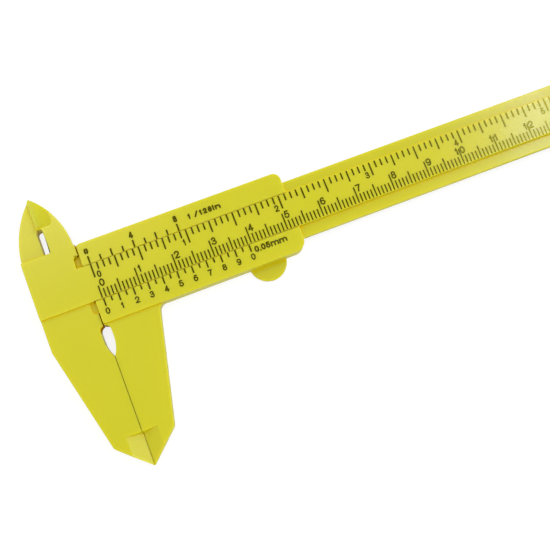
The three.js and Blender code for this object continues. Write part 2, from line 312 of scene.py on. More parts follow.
@dataclass(frozen=True)
class MouldedPlastic:
    """Yellow moulded plastic: satin, translucent, with painted highlights at edges and painted shade,
    orange to brown, in narrow gaps.

    Sizes are millimetres. A span gives where a change starts and where it is full: in millimetres, in
    the value of a noise, in a wall's shade, in the share of open sky, or in how far a face turns from
    level or from its neighbour.
    """

    name: str = "yellow_moulding"
    colour: Colour = (210, 203, 16)
    flow_colour: Colour = (207, 202, 12)
    flow_size: float = 24.0
    flow_span: Span = (0.35, 0.65)
    # Painted bounce light and shade, orange, in narrow gaps, by the share of open sky.
    gap_colour: Colour = (240, 214, 6)
    gap_reach: float = 1.6
    gap_sky: Span = (0.85, 0.4)
    sky_samples: int = 12
    # Painted shade, amber at half and brown at full, on walls that little light reaches.
    relief_colour: Colour = (214, 158, 0)
    deep_colour: Colour = (150, 104, 0)
    relief_shades: Span = (0.0, 0.5)
    deep_shades: Span = (0.5, 1.0)
    dull_shades: Span = (0.0, 0.2)
    lips_middle: float = -2.12
    lips_half_width: Span = (0.26, 0.34)
    lips_end: float = -34.3
    lips_fade: float = 0.5
    lips_turn: Span = (0.98, 0.9)
    lips_sky: Span = (0.97, 0.85)
    # Painted highlight along the rounded outer edges, broken up by a noise.
    edge_colour: Colour = (214, 208, 44)
    edge_radius: float = 0.25
    edge_turn: Span = (0.995, 0.8)
    edge_samples: int = 6
    wear_size: float = 1.2
    wear_span: Span = (0.4, 0.6)
    least_wear: float = 0.3
    gloss: float = 0.36
    gap_gloss: float = 0.08
    roughness: float = 0.24
    roughness_spread: float = 0.03
    roughness_span: Span = (0.3, 0.7)
    wall_roughness: float = 0.5
    wall_turn: Span = (0.85, 0.4)
    wave_size: float = 9.0
    wave_height: float = 0.02
    grain_size: float = 0.35
    grain_height: float = 0.004
    translucence: float = 0.8
    glow_depth: float = 2.0
    glow_reaches: Colour = (1.0, 0.8, 0.1)

    def material(self) -> bpy.types.Material:
        """Builds the material.

        Returns:
            The material.
        """
        made = bpy.data.materials.new(self.name)
        made.use_nodes = True
        work = NodeWork(made.node_tree)
        place = work.add("TexCoord").outputs["Object"]
        flow = work.between(work.noise(place, self.flow_size, detail=2.0), self.flow_span)
        colour = work.blend(flow, linear(self.colour), linear(self.flow_colour))
        # Painted highlight on the rounded outer edges.
        colour = work.blend(self._edges(work, place), colour, linear(self.edge_colour))
        reach = self.gap_reach * MILLIMETRE
        # Painted bounce light and shade, orange, where little sky reaches.
        sky = work.add("AmbientOcclusion", samples=self.sky_samples, Distance=reach).outputs["AO"]
        colour = work.blend(work.between(sky, self.gap_sky), colour, linear(self.gap_colour))
        # Painted shade, amber to brown, on shaded walls and on the closing gap's lips.
        deep = self._depth(work, place, sky)
        colour = work.blend(work.between(deep, self.relief_shades), colour, linear(self.relief_colour))
        colour = work.blend(work.between(deep, self.deep_shades), colour, linear(self.deep_colour))
        shader = work.add(
            "BsdfPrincipled",
            IOR=PLASTIC_IOR,
            Subsurface_Weight=self.translucence,
            Subsurface_Scale=self.glow_depth * MILLIMETRE,
            Subsurface_Radius=self.glow_reaches,
        )
        work.join(colour, shader.inputs["Base Color"])
        satin = work.between(sky, self.gap_sky, self.gloss, self.gap_gloss)
        satin = work.reckon("MULTIPLY", satin, work.between(deep, self.dull_shades, 1.0, 0.0))
        work.join(satin, shader.inputs["Specular IOR Level"])
        work.join(self._roughness(work, place), shader.inputs["Roughness"])
        work.join(self._surface(work, place), shader.inputs["Normal"])
        output = work.add("OutputMaterial")
        work.join(shader.outputs["BSDF"], output.inputs["Surface"])
        return made

    def _roughness(self, work: NodeWork, place: Socket) -> Socket:
        """Satin on the faces, a little uneven, and matt on the side walls, where the mould drew off.

        Args:
            work: The material's nodes.
            place: The place on the piece.

        Returns:
            The roughness.
        """
        spread = self.roughness_spread
        low, high = self.roughness - spread, self.roughness + spread
        uneven = work.noise(place, self.wave_size, detail=3.0)
        satin = work.between(uneven, self.roughness_span, low, high)
        level = work.reckon("ABSOLUTE", work.part_of(work.add("NewGeometry").outputs["Normal"], "Z"))
        matt = work.between(level, self.wall_turn, 0.0, self.wall_roughness)
        return work.reckon("MAXIMUM", satin, matt)

    def _depth(self, work: NodeWork, place: Socket, sky: Socket) -> Socket:
        """Share of the painted shade: as marked on the walls, and full on the lips of the closing gap.

        Args:
            work: The material's nodes.
            place: The place on the piece.
            sky: How much of the sky the place sees.

        Returns:
            The share.
        """
        # Painted shade on the lips each side of the closing line, where they turn in and see little
        # sky, fading out at the jaws' end.
        along = work.part_of(place, "X")
        aside = work.add("Math", operation="SUBTRACT")
        work.join(along, aside.inputs[0])
        aside.inputs[1].default_value = in_row(self.lips_middle, 0.0, 0.0).x
        near, far = (half * MILLIMETRE for half in self.lips_half_width)
        beside = work.between(work.reckon("ABSOLUTE", aside.outputs[0]), (near, far), 1.0, 0.0)
        level = work.part_of(work.add("NewGeometry").outputs["Normal"], "Z")
        turned = work.reckon("MULTIPLY", beside, work.between(level, self.lips_turn))
        lips = work.reckon("MULTIPLY", turned, work.between(sky, self.lips_sky))
        end = in_row(0.0, self.lips_end, 0.0).y
        fade = (end, end + self.lips_fade * MILLIMETRE)
        lips = work.reckon("MULTIPLY", lips, work.between(work.part_of(place, "Y"), fade))
        marked = work.add("Attribute", attribute_name=Moulding.DEEP).outputs["Fac"]
        return work.reckon("MAXIMUM", lips, marked)

    def _edges(self, work: NodeWork, place: Socket) -> Socket:
        """Share of the painted edge highlight: along outer edges, broken up by a fine noise.

        Args:
            work: The material's nodes.
            place: The place on the piece.

        Returns:
            The share.
        """
        radius = self.edge_radius * MILLIMETRE
        bevel = work.add("Bevel", samples=self.edge_samples, Radius=radius)
        flat = work.add("NewGeometry").outputs["Normal"]
        turned = work.add("VectorMath", operation="DOT_PRODUCT")
        work.join(bevel.outputs["Normal"], turned.inputs[0])
        work.join(flat, turned.inputs[1])
        edge = work.between(turned.outputs["Value"], self.edge_turn)
        highlight_break = work.noise(place, self.wear_size, detail=4.0)
        return work.reckon("MULTIPLY", edge, work.between(highlight_break, self.wear_span, self.least_wear))

    def _surface(self, work: NodeWork, place: Socket) -> Socket:
        """The slight waves of a moulding and the fine grain of its satin face, as a normal.

        Args:
            work: The material's nodes.
            place: The place on the piece.

        Returns:
            The normal.
        """
        wave = work.add("Bump", Strength=1.0, Distance=self.wave_height * MILLIMETRE)
        work.join(work.noise(place, self.wave_size, detail=1.0), wave.inputs["Height"])
        grain = work.add("Bump", Strength=1.0, Distance=self.grain_height * MILLIMETRE)
        work.join(work.noise(place, self.grain_size, detail=3.0), grain.inputs["Height"])
        work.join(wave.outputs["Normal"], grain.inputs["Normal"])
        return grain.outputs["Normal"]


@dataclass(frozen=True)
class PrintedInk:
    """Dark brown ink of the scales, uneven where it took less well, and paled by a painted glare along
    the beam.
    """

    name: str = "scale_print"
    colour: Colour = (76, 70, 0)
    thin_colour: Colour = (100, 92, 2)
    thin_span: Span = (0.45, 0.75)
    patch_size: float = 0.5
    # Painted glare: the ink pales toward the beam's right end.
    worn_colour: Colour = (178, 170, 44)
    worn_from: float = 66.0
    most_worn: float = 128.0
    worn_to: float = 150.0
    wear_at_end: float = 0.3
    gloss: float = 0.03
    roughness: Span = (0.34, 0.48)
    roughness_span: Span = (0.3, 0.7)

    def material(self) -> bpy.types.Material:
        """Builds the material.

        Returns:
            The material.
        """
        made = bpy.data.materials.new(self.name)
        made.use_nodes = True
        work = NodeWork(made.node_tree)
        place = work.add("TexCoord").outputs["Object"]
        patches = work.noise(place, self.patch_size, detail=3.0)
        thin = work.between(patches, self.thin_span)
        colour = work.blend(thin, linear(self.colour), linear(self.thin_colour))
        # Painted glare, paler ink toward the beam's right end.
        colour = work.blend(self._wear(work, place), colour, linear(self.worn_colour))
        shader = work.add("BsdfPrincipled", IOR=PLASTIC_IOR, Specular_IOR_Level=self.gloss)
        work.join(colour, shader.inputs["Base Color"])
        matt = work.between(patches, self.roughness_span, *self.roughness)
        work.join(matt, shader.inputs["Roughness"])
        output = work.add("OutputMaterial")
        work.join(shader.outputs["BSDF"], output.inputs["Surface"])
        return made

    def _wear(self, work: NodeWork, place: Socket) -> Socket:
        """Share of the painted glare: it grows along the beam's right half, and falls at the end.

        Args:
            work: The material's nodes.
            place: The place on the piece.

        Returns:
            The share.
        """
        along = work.part_of(place, "X")
        marks = (self.worn_from, self.most_worn, self.worn_to)
        start, most, end = (in_row(mark, 0.0, 0.0).x for mark in marks)
        growing = work.between(along, (start, most))
        glare_share = work.reckon("MULTIPLY", growing, growing)
        falling = work.between(along, (most, end), 1.0, self.wear_at_end)
        return work.reckon("MULTIPLY", glare_share, falling)


@dataclass
class Moulding:
    """A moulded piece: its CAD node's solid, with each edge rounded as that part of a mould leaves it.

    The zones of its edges and walls are read in order, and the first that holds a place counts. Angles
    are degrees. A face is a wall when the upright part of its normal is less than wall_slope. The front
    face lies back by print_room, and slack is the share that the piece is drawn in along x, so that it
    and its print stay inside the CAD model's box.
    """

    node: str
    body: Body
    name: str
    edges: tuple[Zone, ...]
    walls: tuple[Zone, ...] = ()
    widest: float = 0.3
    segments: int = 3
    sharp_angle: float = 22.0
    flat_angle: float = 0.5
    wall_slope: float = 0.5
    weld: float = 0.001
    smallest_step: float = 0.06
    front_face: float = 5.0
    print_room: float = 0.006
    slack: float = 1e-5
    piece: bpy.types.Object | None = field(default=None, init=False)

    # Name of the face attribute that holds each wall's share of painted shade.
    DEEP: ClassVar[str] = "deep"

    def _is_wall(self, face: bmesh.types.BMFace) -> bool:
        """Tells whether a face is a side wall."""
        return abs(face.normal.z) < self.wall_slope

    def _shade_of(self, middle: Vector) -> Shade:
        """Gives the shade of a wall, by its middle on the object."""
        return next((zone.kind for zone in self.walls if zone.holds(middle)), Shade.OPEN)

    def _rounding_of(self, middle: Vector, upright: bool) -> Rounding:
        """Gives the rounding of an edge.

        Args:
            middle: The middle of the edge, in millimetres on the object.
            upright: Whether the edge stands between two side walls.

        Returns:
            The kind of rounding.
        """
        zones = (zone for zone in self.edges if upright or not zone.upright)
        return next(zone.kind for zone in zones if zone.holds(middle))

    def build(self) -> bpy.types.Object:
        """Builds the piece, rides it on its body and lets it stand for its node.

        Returns:
            The piece.
        """
        work = bmesh.new()
        work.from_mesh(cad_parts[self.node].data)
        flat = math.radians(self.flat_angle)
        bmesh.ops.remove_doubles(work, verts=work.verts, dist=self.weld * MILLIMETRE)
        bmesh.ops.dissolve_limit(work, angle_limit=flat, verts=work.verts, edges=work.edges)
        bmesh.ops.remove_doubles(work, verts=work.verts, dist=self.smallest_step * MILLIMETRE)
        for vert in work.verts:
            if vert.co.z > (self.front_face - self.print_room) * MILLIMETRE:
                vert.co.z -= self.print_room * MILLIMETRE
        bmesh.ops.scale(work, vec=(1 - self.slack, 1, 1), verts=work.verts)
        self._mark_deep(work)
        self._weigh_edges(work)
        for face in work.faces:
            face.smooth = True
        mesh = bpy.data.meshes.new(self.name)
        work.to_mesh(mesh)
        work.free()
        self.piece = new_object(self.name, mesh)
        self._round_edges()
        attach(self.piece, self.body.value)
        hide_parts(self.node)
        return self.piece

    def _weigh_edges(self, work: bmesh.types.BMesh) -> None:
        """Stores each edge's radius, as a share of the widest, where the rounding reads it.

        Args:
            work: The mesh, in metres in the row frame.
        """
        weight = work.edges.layers.float.new("bevel_weight_edge")
        limit = math.radians(self.sharp_angle)
        for edge in work.edges:
            if edge.is_manifold and edge.calc_face_angle() > limit:
                middle = on_object((edge.verts[0].co + edge.verts[1].co) / 2)
                upright = all(self._is_wall(face) for face in edge.link_faces)
                edge[weight] = self._rounding_of(middle, upright).value / self.widest

    def _mark_deep(self, work: bmesh.types.BMesh) -> None:
        """Stores each wall's share of painted shade, where the plastic's colour reads it.

        Args:
            work: The mesh, in metres in the row frame.
        """
        deep = work.faces.layers.float.new(self.DEEP)
        for face in filter(self._is_wall, work.faces):
            face[deep] = self._shade_of(on_object(face.calc_center_median())).value

    def _round_edges(self) -> None:
        """Adds the rounding, and normals that keep the wide faces flat."""
        rounding = self.piece.modifiers.new("rounding", "BEVEL")
        rounding.limit_method = "WEIGHT"
        rounding.width = self.widest * MILLIMETRE
        rounding.segments = self.segments
        rounding.use_clamp_overlap = False
        normals = self.piece.modifiers.new("flat_faces", "WEIGHTED_NORMAL")
        normals.mode = "FACE_AREA_WITH_ANGLE"

    def dress(self, plastic: bpy.types.Material) -> None:
        """Gives the piece its plastic.

        Args:
            plastic: The plastic.
        """
        self.piece.data.materials.clear()
        self.piece.data.materials.append(plastic)


@dataclass
class Beam(Moulding):
    """The beam with its head, its fixed outside jaw and its fixed inside jaw."""

    node: str = "beam"
    body: Body = Body.FRAME
    name: str = "beam_moulding"
    edges: tuple[Zone, ...] = (
        # The knife edges of both jaws, the leaf's bevel, and the corner that the slider closes on.
        Zone(Rounding.KNIFE, x=CLOSING_LINE, y=below(-10.0)),
        Zone(Rounding.KNIFE, x=LEAF_LINE, y=above(21.5)),
        Zone(Rounding.KNIFE, x=below(-5.4), y=above(22.3)),
        Zone(Rounding.KNIFE, x=(-2.5, 0.0), y=above(15.2)),
        Zone(Rounding.INNER, upright=True),
        # The lips of the closing gap, then the leaf's front and back, then all that is behind.
        Zone(Rounding.LIP, x=CLOSING_LINE, y=CLOSING_GAP, z=above(4.0)),
        Zone(Rounding.LEAF, y=above(15.6), z=above(2.0)),
        Zone(Rounding.KNIFE, y=above(15.6)),
        Zone(Rounding.SOFT, z=below(2.0)),
        # The front beside the slider: the two notches, the head's right side and the strip.
        Zone(Rounding.SOFT, x=(-3.7, -2.1), y=(-3.3, -0.1), z=above(4.9)),
        Zone(Rounding.SOFT, x=(-3.7, -2.1), y=(9.5, 12.5), z=above(4.9)),
        Zone(Rounding.LIP, x=(-2.3, -2.1), z=above(4.9)),
        Zone(Rounding.STRIP, x=(-3.7, -2.1), z=above(4.9)),
        # The outline of the ledges, the head and the jaw, and every other line of the front.
        Zone(Rounding.RIM, x=above(-2.1), z=below(3.7)),
        Zone(Rounding.STRIP, x=above(-2.1)),
        Zone(Rounding.RIM, x=below(-16.3), y=above(0.0)),
        Zone(Rounding.RIM, x=below(-9.0), y=above(15.4)),
        Zone(Rounding.RIM, x=below(-6.2), y=below(-0.1)),
        Zone(Rounding.STRIP),
    )
    # Walls that get painted shade: the relief, the leaf's slot, and the closing gap below and above the
    # strip.
    walls: tuple[Zone, ...] = (
        Zone(Shade.RELIEF, x=(-3.6, 0.0), y=RELIEF),
        Zone(Shade.SLOT, x=LEAF_SLOT, y=(15.3, 22.6)),
        Zone(Shade.GAP, x=(-3.6, 0.0), y=CLOSING_GAP),
        Zone(Shade.GAP, x=(-3.6, 0.0), y=(12.6, 15.5)),
    )


@dataclass
class Slider(Moulding):
    """The sliding channel with its outside jaw, inside jaw, thumb tab and pegs."""

    node: str = "slider"
    body: Body = Body.SLIDE
    name: str = "slider_moulding"
    edges: tuple[Zone, ...] = (
        # The knife edges of both jaws.
        Zone(Rounding.KNIFE, x=CLOSING_LINE, y=below(-6.0), z=below(4.9)),
        Zone(Rounding.KNIFE, x=LEAF_LINE, y=above(15.0)),
        Zone(Rounding.INNER, upright=True),
        # The front strips: the window between them, and their rim.
        Zone(Rounding.STRIP, x=below(53.0), y=(-0.2, 9.5), z=above(4.9)),
        Zone(Rounding.RIM, z=above(4.9)),
        # The jaw's outline and its lines beside the knife edge, the thumb tab, the back, the channel.
        Zone(Rounding.RIM, x=above(2.2), y=below(-6.3), z=above(4.1)),
        Zone(Rounding.STRIP, y=below(-6.3), z=above(4.1)),
        Zone(Rounding.SOFT, x=above(30.0), y=below(-6.3)),
        Zone(Rounding.SOFT, z=below(0.1)),
        Zone(Rounding.INNER),
    )
    # Walls that get painted shade: the leaf's slot, the relief, and the closing gap below and above the
    # strip.
    walls: tuple[Zone, ...] = (
        Zone(Shade.SLOT, x=LEAF_SLOT, y=(15.4, 22.6)),
        Zone(Shade.RELIEF, x=(-2.25, -0.2), y=RELIEF),
        Zone(Shade.GAP, x=(-2.25, -0.2), y=CLOSING_GAP),
        Zone(Shade.GAP, x=(-2.25, -0.2), y=(12.3, 15.3)),
    )


@dataclass
class DepthRod(Moulding):
    """The flat depth rod in the back of the beam, keen only at its measuring tip."""

    node: str = "depth_rod"
    body: Body = Body.SLIDE
    name: str = "depth_rod_blade"
    edges: tuple[Zone, ...] = (Zone(Rounding.KNIFE, x=above(174.5)), Zone(Rounding.ROD))


class StrokeFont:
    """Plain upright figures drawn with strokes, in a box one wide and one high.

    Each figure is a list of strokes, and each stroke a list of points along its middle.
    """

    TURN_STEP: ClassVar[float] = 15.0
    FEWEST_STEPS: ClassVar[int] = 4

    def __init__(self) -> None:
        """Draws every figure once."""
        self.figures: dict[str, list[list[Point]]] = {
            "0": [self._oval(0.5, 0.5, 0.5, 0.5)],
            "1": [[(0.1, 0.74), (0.4, 0.8), (0.62, 1.0), (0.62, 0.0)]],
            "2": [
                self._turn(0.5, 0.7, 0.5, 0.3, 170, -35)
                + [(0.62, 0.38), (0.3, 0.2), (0.06, 0.06), (0.0, 0.0), (1.0, 0.0)]
            ],
            "3": [
                self._turn(0.49, 0.76, 0.42, 0.24, 165, -90) + [(0.36, 0.52)],
                [(0.36, 0.52)] + self._turn(0.49, 0.26, 0.51, 0.26, 90, -170),
            ],
            "4": [[(1.06, 0.26), (0.0, 0.26), (0.72, 1.0), (0.72, 0.0)]],
            "5": [
                [(0.9, 1.0), (0.2, 1.0), (0.08, 0.5)] + self._turn(0.48, 0.32, 0.52, 0.32, 145, -165)
            ],
            "6": [
                self._turn(0.5, 0.31, 0.5, 0.31, 180, -180),
                self._turn(0.56, 0.55, 0.56, 0.45, 52, 192),
            ],
            "7": [[(0.0, 1.0), (1.0, 1.0), (0.66, 0.6), (0.46, 0.25), (0.38, 0.0)]],
            "8": [self._oval(0.5, 0.77, 0.42, 0.23), self._oval(0.5, 0.27, 0.5, 0.27)],
            "9": [
                self._turn(0.5, 0.69, 0.5, 0.31, 0, 360),
                self._turn(0.44, 0.45, 0.56, 0.45, 232, 372),
            ],
            "/": [[(0.0, -0.05), (1.0, 1.05)]],
            ".": [[(0.0, 0.0), (1.0, 0.0)]],
            "i": [[(0.5, 0.0), (0.5, 0.68)], [(0.5, 0.9), (0.5, 1.02)]],
            "n": [[(0.0, 0.0), (0.0, 0.7)], self._turn(0.5, 0.42, 0.5, 0.28, 180, 0) + [(1.0, 0.0)]],
            "m": [
                [(0.0, 0.0), (0.0, 0.7)],
                self._turn(0.25, 0.45, 0.25, 0.25, 180, 0) + [(0.5, 0.0)],
                self._turn(0.75, 0.45, 0.25, 0.25, 180, 0) + [(1.0, 0.0)],
            ],
        }
        self.widths: dict[str, float] = {"1": 0.62, "/": 1.1, ".": 0.0, "i": 0.0, "m": 2.3, "n": 1.7}

    @classmethod
    def _turn(
        cls, x: float, y: float, wide: float, high: float, start: float, end: float
    ) -> list[Point]:
        """Gives points along part of an oval round a middle, from one angle to another in degrees.

        Args:
            x: The middle across the figure.
            y: The middle's height.
            wide: Half its width.
            high: Half its height.
            start: The angle of the first point, anticlockwise from the right.
            end: The angle of the last point.

        Returns:
            The points.
        """
        steps = max(cls.FEWEST_STEPS, round(abs(end - start) / cls.TURN_STEP))
        angles = (math.radians(start + (end - start) * step / steps) for step in range(steps + 1))
        return [(x + wide * math.cos(angle), y + high * math.sin(angle)) for angle in angles]

    @classmethod
    def _oval(cls, x: float, y: float, wide: float, high: float) -> list[Point]:
        """Gives points round a whole oval, back to the first."""
        return cls._turn(x, y, wide, high, 90, 450)

    def strokes(
        self, figure: str, left: float, foot: float, width: float, height: float
    ) -> list[list[Point]]:
        """Places one figure.

        Args:
            figure: The figure to draw.
            left: The place along the beam of the middle of its leftmost stroke.
            foot: The place across the beam of the middle of its lowest stroke.
            width: Its width between stroke middles.
            height: Its height between stroke middles.

        Returns:
            Its strokes.
        """
        return [
            [(left + width * x, foot + height * y) for x, y in stroke]
            for stroke in self.figures[figure]
        ]

    def width_share(self, figure: str) -> float:
        """Width of a figure between stroke middles, as a share of a round figure's."""
        return self.widths.get(figure, 1.0)


@dataclass(frozen=True)
class Lettering:
    """One size of figures: how high they stand, how wide they are and how bold."""

    height: float
    stroke: float
    slimness: float = 0.62
    gap: float = 0.22

    def width_of(self, text: str, font: StrokeFont) -> float:
        """Whole width of a text, from the outside of its first stroke to that of its last."""
        return sum(self._advance(figure, font) for figure in text) - self.gap * self.height

    def _advance(self, figure: str, font: StrokeFont) -> float:
        """Distance from one figure's left side to the next one's."""
        return self._inner_width(figure, font) + self.stroke + self.gap * self.height

    def _inner_width(self, figure: str, font: StrokeFont) -> float:
        """Width of one figure between stroke middles."""
        return (self.slimness * self.height - self.stroke) * font.width_share(figure)

    def write(self, text: str, middle: float, foot: float, font: StrokeFont) -> list[list[Point]]:
        """Gives the strokes of a text.

        Args:
            text: The figures to write.
            middle: The place of the text's middle along the beam.
            foot: The lower edge of the text.
            font: The shapes of the figures.

        Returns:
            All of its strokes.
        """
        left = middle - self.width_of(text, font) / 2 + self.stroke / 2
        strokes: list[list[Point]] = []
        for figure in text:
            width = self._inner_width(figure, font)
            inner_height = self.height - self.stroke
            strokes += font.strokes(figure, left, foot + self.stroke / 2, width, inner_height)
            left += self._advance(figure, font)
        return strokes


class InkLayer:
    """Collects marks and figures on one face, and makes one flat sheet of ink of them.

    Steps under SHORTEST are left out, and CORNER is the cosine of the sharpest bend that gets a mitre.
    Shapes are joined to triangles over all that they span, with corners closer than JOIN_WITHIN made
    one. Triangles that meet at less than FLAT, in radians, become one face.
    """

    SHORTEST: ClassVar[float] = 1e-6
    CORNER: ClassVar[float] = 0.8
    DOT_SIDES: ClassVar[int] = 8
    JOIN_ALL: ClassVar[int] = 0
    JOIN_WITHIN: ClassVar[float] = 1e-5
    FLAT: ClassVar[float] = 0.01

    def __init__(self) -> None:
        """Starts with no ink."""
        self.corners: list[Vector] = []
        self.faces: list[list[int]] = []

    def mark(self, x: float, start: float, end: float, width: float) -> None:
        """Adds one straight mark across the beam.

        Args:
            x: The place of its middle along the beam.
            start: Where it starts, across the beam.
            end: Where it ends.
            width: Its width.
        """
        low, high = min(start, end), max(start, end)
        half = width / 2
        self._face([(x - half, low), (x + half, low), (x + half, high), (x - half, high)])

    def stroke(self, points: Sequence[Point], width: float) -> None:
        """Adds one stroke of a given width, mitred at gentle bends, with dots at its ends and corners.

        Args:
            points: Points along its middle. A stroke that ends where it starts is closed.
            width: Its full width.
        """
        middle = [Vector(point) for point in points]
        steps = zip(middle, middle[1:])
        middle = [here for here, after in steps if (after - here).length > self.SHORTEST] + middle[-1:]
        closed = len(middle) > 2 and (middle[0] - middle[-1]).length < self.SHORTEST
        sides = [self._side(start, end) * width / 2 for start, end in zip(middle, middle[1:])]
        if not closed:
            self._dot(middle[0], width)
            self._dot(middle[-1], width)
        for index, side in enumerate(sides):
            before = sides[index - 1] if index or closed else side
            after = sides[(index + 1) % len(sides)] if index + 1 < len(sides) or closed else side
            start, end = middle[index], middle[index + 1]
            p, q = self._mitre(side, before), self._mitre(side, after)
            self._face([start - p, end - q, end + q, start + p])
            if self._is_corner(side, after):
                self._dot(end, width)

    @staticmethod
    def _side(start: Vector, end: Vector) -> Vector:
        """Gives the direction to the left of the line between two points."""
        along = (end - start).normalized()
        return Vector((-along.y, along.x))

    @classmethod
    def _is_corner(cls, one: Vector, other: Vector) -> bool:
        """Tells whether a stroke bends too sharply for a mitre, by its two offsets to the left."""
        return one.dot(other) < cls.CORNER * one.length_squared

    @classmethod
    def _mitre(cls, side: Vector, neighbour: Vector) -> Vector:
        """Gives the offset to the left where a stroke meets the next one, or its own at a corner.

        Args:
            side: The stroke's own offset to the left.
            neighbour: The offset of the one that it meets.

        Returns:
            The offset.
        """
        if cls._is_corner(side, neighbour):
            return side
        return (side + neighbour) * side.length_squared / (side.length_squared + side.dot(neighbour))

    def _dot(self, middle: Vector, width: float) -> None:
        """Adds a round dot.

        Args:
            middle: Its middle.
            width: The width of its stroke.
        """
        half_turn = 180 / self.DOT_SIDES
        radius = width / 2 / math.cos(math.radians(half_turn))
        turns = (math.radians(half_turn * (1 + 2 * side)) for side in range(self.DOT_SIDES))
        self._face([middle + radius * Vector((math.cos(turn), math.sin(turn))) for turn in turns])

    def _face(self, corners: Iterable[Point | Vector]) -> None:
        """Adds one flat shape.

        Args:
            corners: Its corners, anticlockwise.
        """
        start = len(self.corners)
        self.corners += [Vector(corner) for corner in corners]
        self.faces.append(list(range(start, len(self.corners))))

    def _columns(self) -> dict[int, list[list[Vector]]]:
        """Sorts the shapes by each whole millimetre along the beam that they reach into.

        Returns:
            The shapes of each millimetre.
        """
        columns: dict[int, list[list[Vector]]] = {}
        for face in self.faces:
            shape = [self.corners[index] for index in face]
            low, high = min(corner.x for corner in shape), max(corner.x for corner in shape)
            for column in range(math.floor(low), math.floor(high) + 1):
                columns.setdefault(column, []).append(shape)
        return columns

    @staticmethod
    def _covers(shape: list[Vector], place: Vector) -> bool:
        """Tells whether a place lies in a bulging shape whose corners run anticlockwise."""
        pairs = zip(shape, shape[1:] + shape[:1])
        return all((end - start).cross(place - start) > 0 for start, end in pairs)

    def mesh(self, name: str, top: float, thickness: float) -> bpy.types.Mesh:
        """Joins all the shapes into one sheet.

        Args:
            name: The name of the mesh.
            top: The height of the sheet's face, in millimetres above the table.
            thickness: How far its sides reach down, in millimetres.

        Returns:
            The mesh, in the row frame.
        """
        joined = delaunay_2d_cdt(self.corners, [], self.faces, self.JOIN_ALL, self.JOIN_WITHIN)
        corners, faces = joined[0], joined[2]
        columns = self._columns()
        work = bmesh.new()
        places = [work.verts.new(in_row(corner.x, corner.y, top)) for corner in corners]
        for face in faces:
            middle = sum((corners[index] for index in face), Vector((0, 0))) / len(face)
            if any(self._covers(shape, middle) for shape in columns.get(math.floor(middle.x), ())):
                work.faces.new([places[index] for index in face])
        loose = [vert for vert in work.verts if not vert.link_faces]
        bmesh.ops.delete(work, geom=loose, context="VERTS")
        bmesh.ops.dissolve_limit(work, angle_limit=self.FLAT, verts=work.verts, edges=work.edges)
        self._close(work, thickness * MILLIMETRE)
        made = bpy.data.meshes.new(name)
        work.to_mesh(made)
        work.free()
        return made

    @staticmethod
    def _close(work: bmesh.types.BMesh, depth: float) -> None:
        """Gives a flat sheet sides and a back, always in the same order.

        Args:
            work: The sheet, which gets them.
            depth: How deep they reach, in metres.
        """
        sheet = [list(face.verts) for face in work.faces]
        rim = [edge.link_loops[0] for edge in work.edges if edge.is_boundary]
        sides = [(loop.vert, loop.link_loop_next.vert) for loop in rim]
        down = Vector((0, 0, -depth))
        lower = {vert: work.verts.new(vert.co + down) for vert in list(work.verts)}
        for start, end in sides:
            work.faces.new((end, start, lower[start], lower[end]))
        for corners in sheet:
            work.faces.new([lower[vert] for vert in reversed(corners)])


@dataclass
class Print:
    """Ink on one body's front face."""

    name: str
    body: Body
    face: float = 4.999
    thickness: float = 0.012
    mark_width: float = 0.42
    ink: InkLayer = field(default_factory=InkLayer, init=False)
    font: StrokeFont = field(default_factory=StrokeFont, init=False)
    piece: bpy.types.Object | None = field(default=None, init=False)

    def draw(self) -> None:
        """Draws the marks and figures into the ink layer."""
        raise NotImplementedError

    def write(self, text: str, middle: float, foot: float, lettering: Lettering) -> None:
        """Writes one text, centred on a place along the beam."""
        for stroke in lettering.write(text, middle, foot, self.font):
            self.ink.stroke(stroke, lettering.stroke)

    def build(self) -> bpy.types.Object:
        """Builds the sheet of ink and rides it on its body.

        Returns:
            The sheet.
        """
        self.draw()
        self.piece = new_object(self.name, self.ink.mesh(self.name, self.face, self.thickness))
        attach(self.piece, self.body.value)
        return self.piece

    def dress(self, ink: bpy.types.Material) -> None:
        """Gives the sheet its ink."""
        self.piece.data.materials.append(ink)


